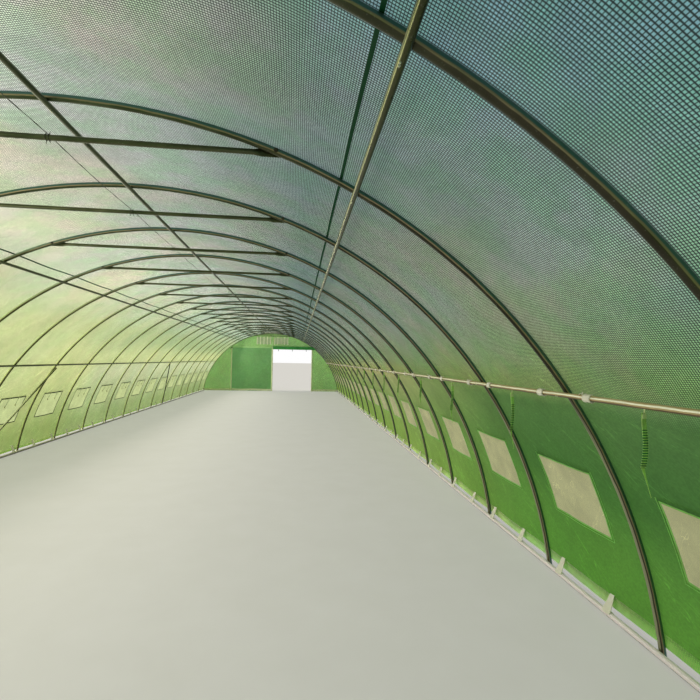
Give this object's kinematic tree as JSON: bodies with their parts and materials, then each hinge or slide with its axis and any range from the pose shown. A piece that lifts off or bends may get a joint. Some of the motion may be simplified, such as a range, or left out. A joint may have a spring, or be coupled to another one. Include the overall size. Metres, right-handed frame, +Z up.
{
  "type": "polytunnel greenhouse",
  "caption": "Walk-in tunnel greenhouse: round steel hoops with tie bars and purlins under a ribbed green film, mesh windows low on both sides and two film doors in each gable.",
  "frame": {"origin": "middle of the tunnel on the ground", "axes": "+Y along the tunnel from the front gable to the back gable, +X to the right seen from the front, +Z up"},
  "size_m": [5.7924, 20.223, 2.5241],
  "materials": {
    "hoop_tube": "dull galvanised",
    "tube": "dull galvanised",
    "pale_tube": "satin",
    "wire": "dull",
    "film": "translucent woven film",
    "mesh": "fine insect mesh"
  },
  "bodies": {
    "root": {"back_closed_door": "film", "back_door_roll": "film", "back_gable_film": "film", "back_gable_frame": "tube", "back_gable_mesh": "mesh", "centre_wire": "wire", "front_closed_door": "film", "front_door_roll": "film", "front_gable_film": "film", "front_gable_frame": "tube", "front_gable_mesh": "mesh", "hoop_01": "hoop_tube", "hoop_02": "hoop_tube", "hoop_03": "hoop_tube", "hoop_04": "hoop_tube", "hoop_05": "hoop_tube", "hoop_06": "hoop_tube", "hoop_07": "hoop_tube", "hoop_08": "hoop_tube", "hoop_09": "hoop_tube", "hoop_10": "hoop_tube", "hoop_11": "hoop_tube", "hoop_12": "hoop_tube", "hoop_13": "hoop_tube", "hoop_14": "hoop_tube", "hoop_15": "hoop_tube", "hoop_16": "hoop_tube", "hoop_17": "hoop_tube", "hoop_18": "hoop_tube", "hoop_19": "hoop_tube", "hoop_20": "hoop_tube", "hoop_21": "hoop_tube", "left_base_rail": "pale_tube", "left_purlin": "tube", "left_shoulder_film": "film", "left_side_rail": "pale_tube", "left_skirt_film": "film", "left_window_flaps": "film", "left_window_mesh": "mesh", "ridge_purlin": "tube", "right_base_rail": "pale_tube", "right_purlin": "tube", "right_shoulder_film": "film", "right_side_rail": "pale_tube", "right_skirt_film": "film", "right_window_flaps": "film", "right_window_mesh": "mesh", "roof_film": "film", "tie_bars": "tube", "wind_braces": "tube"}
  },
  "joints": []
}
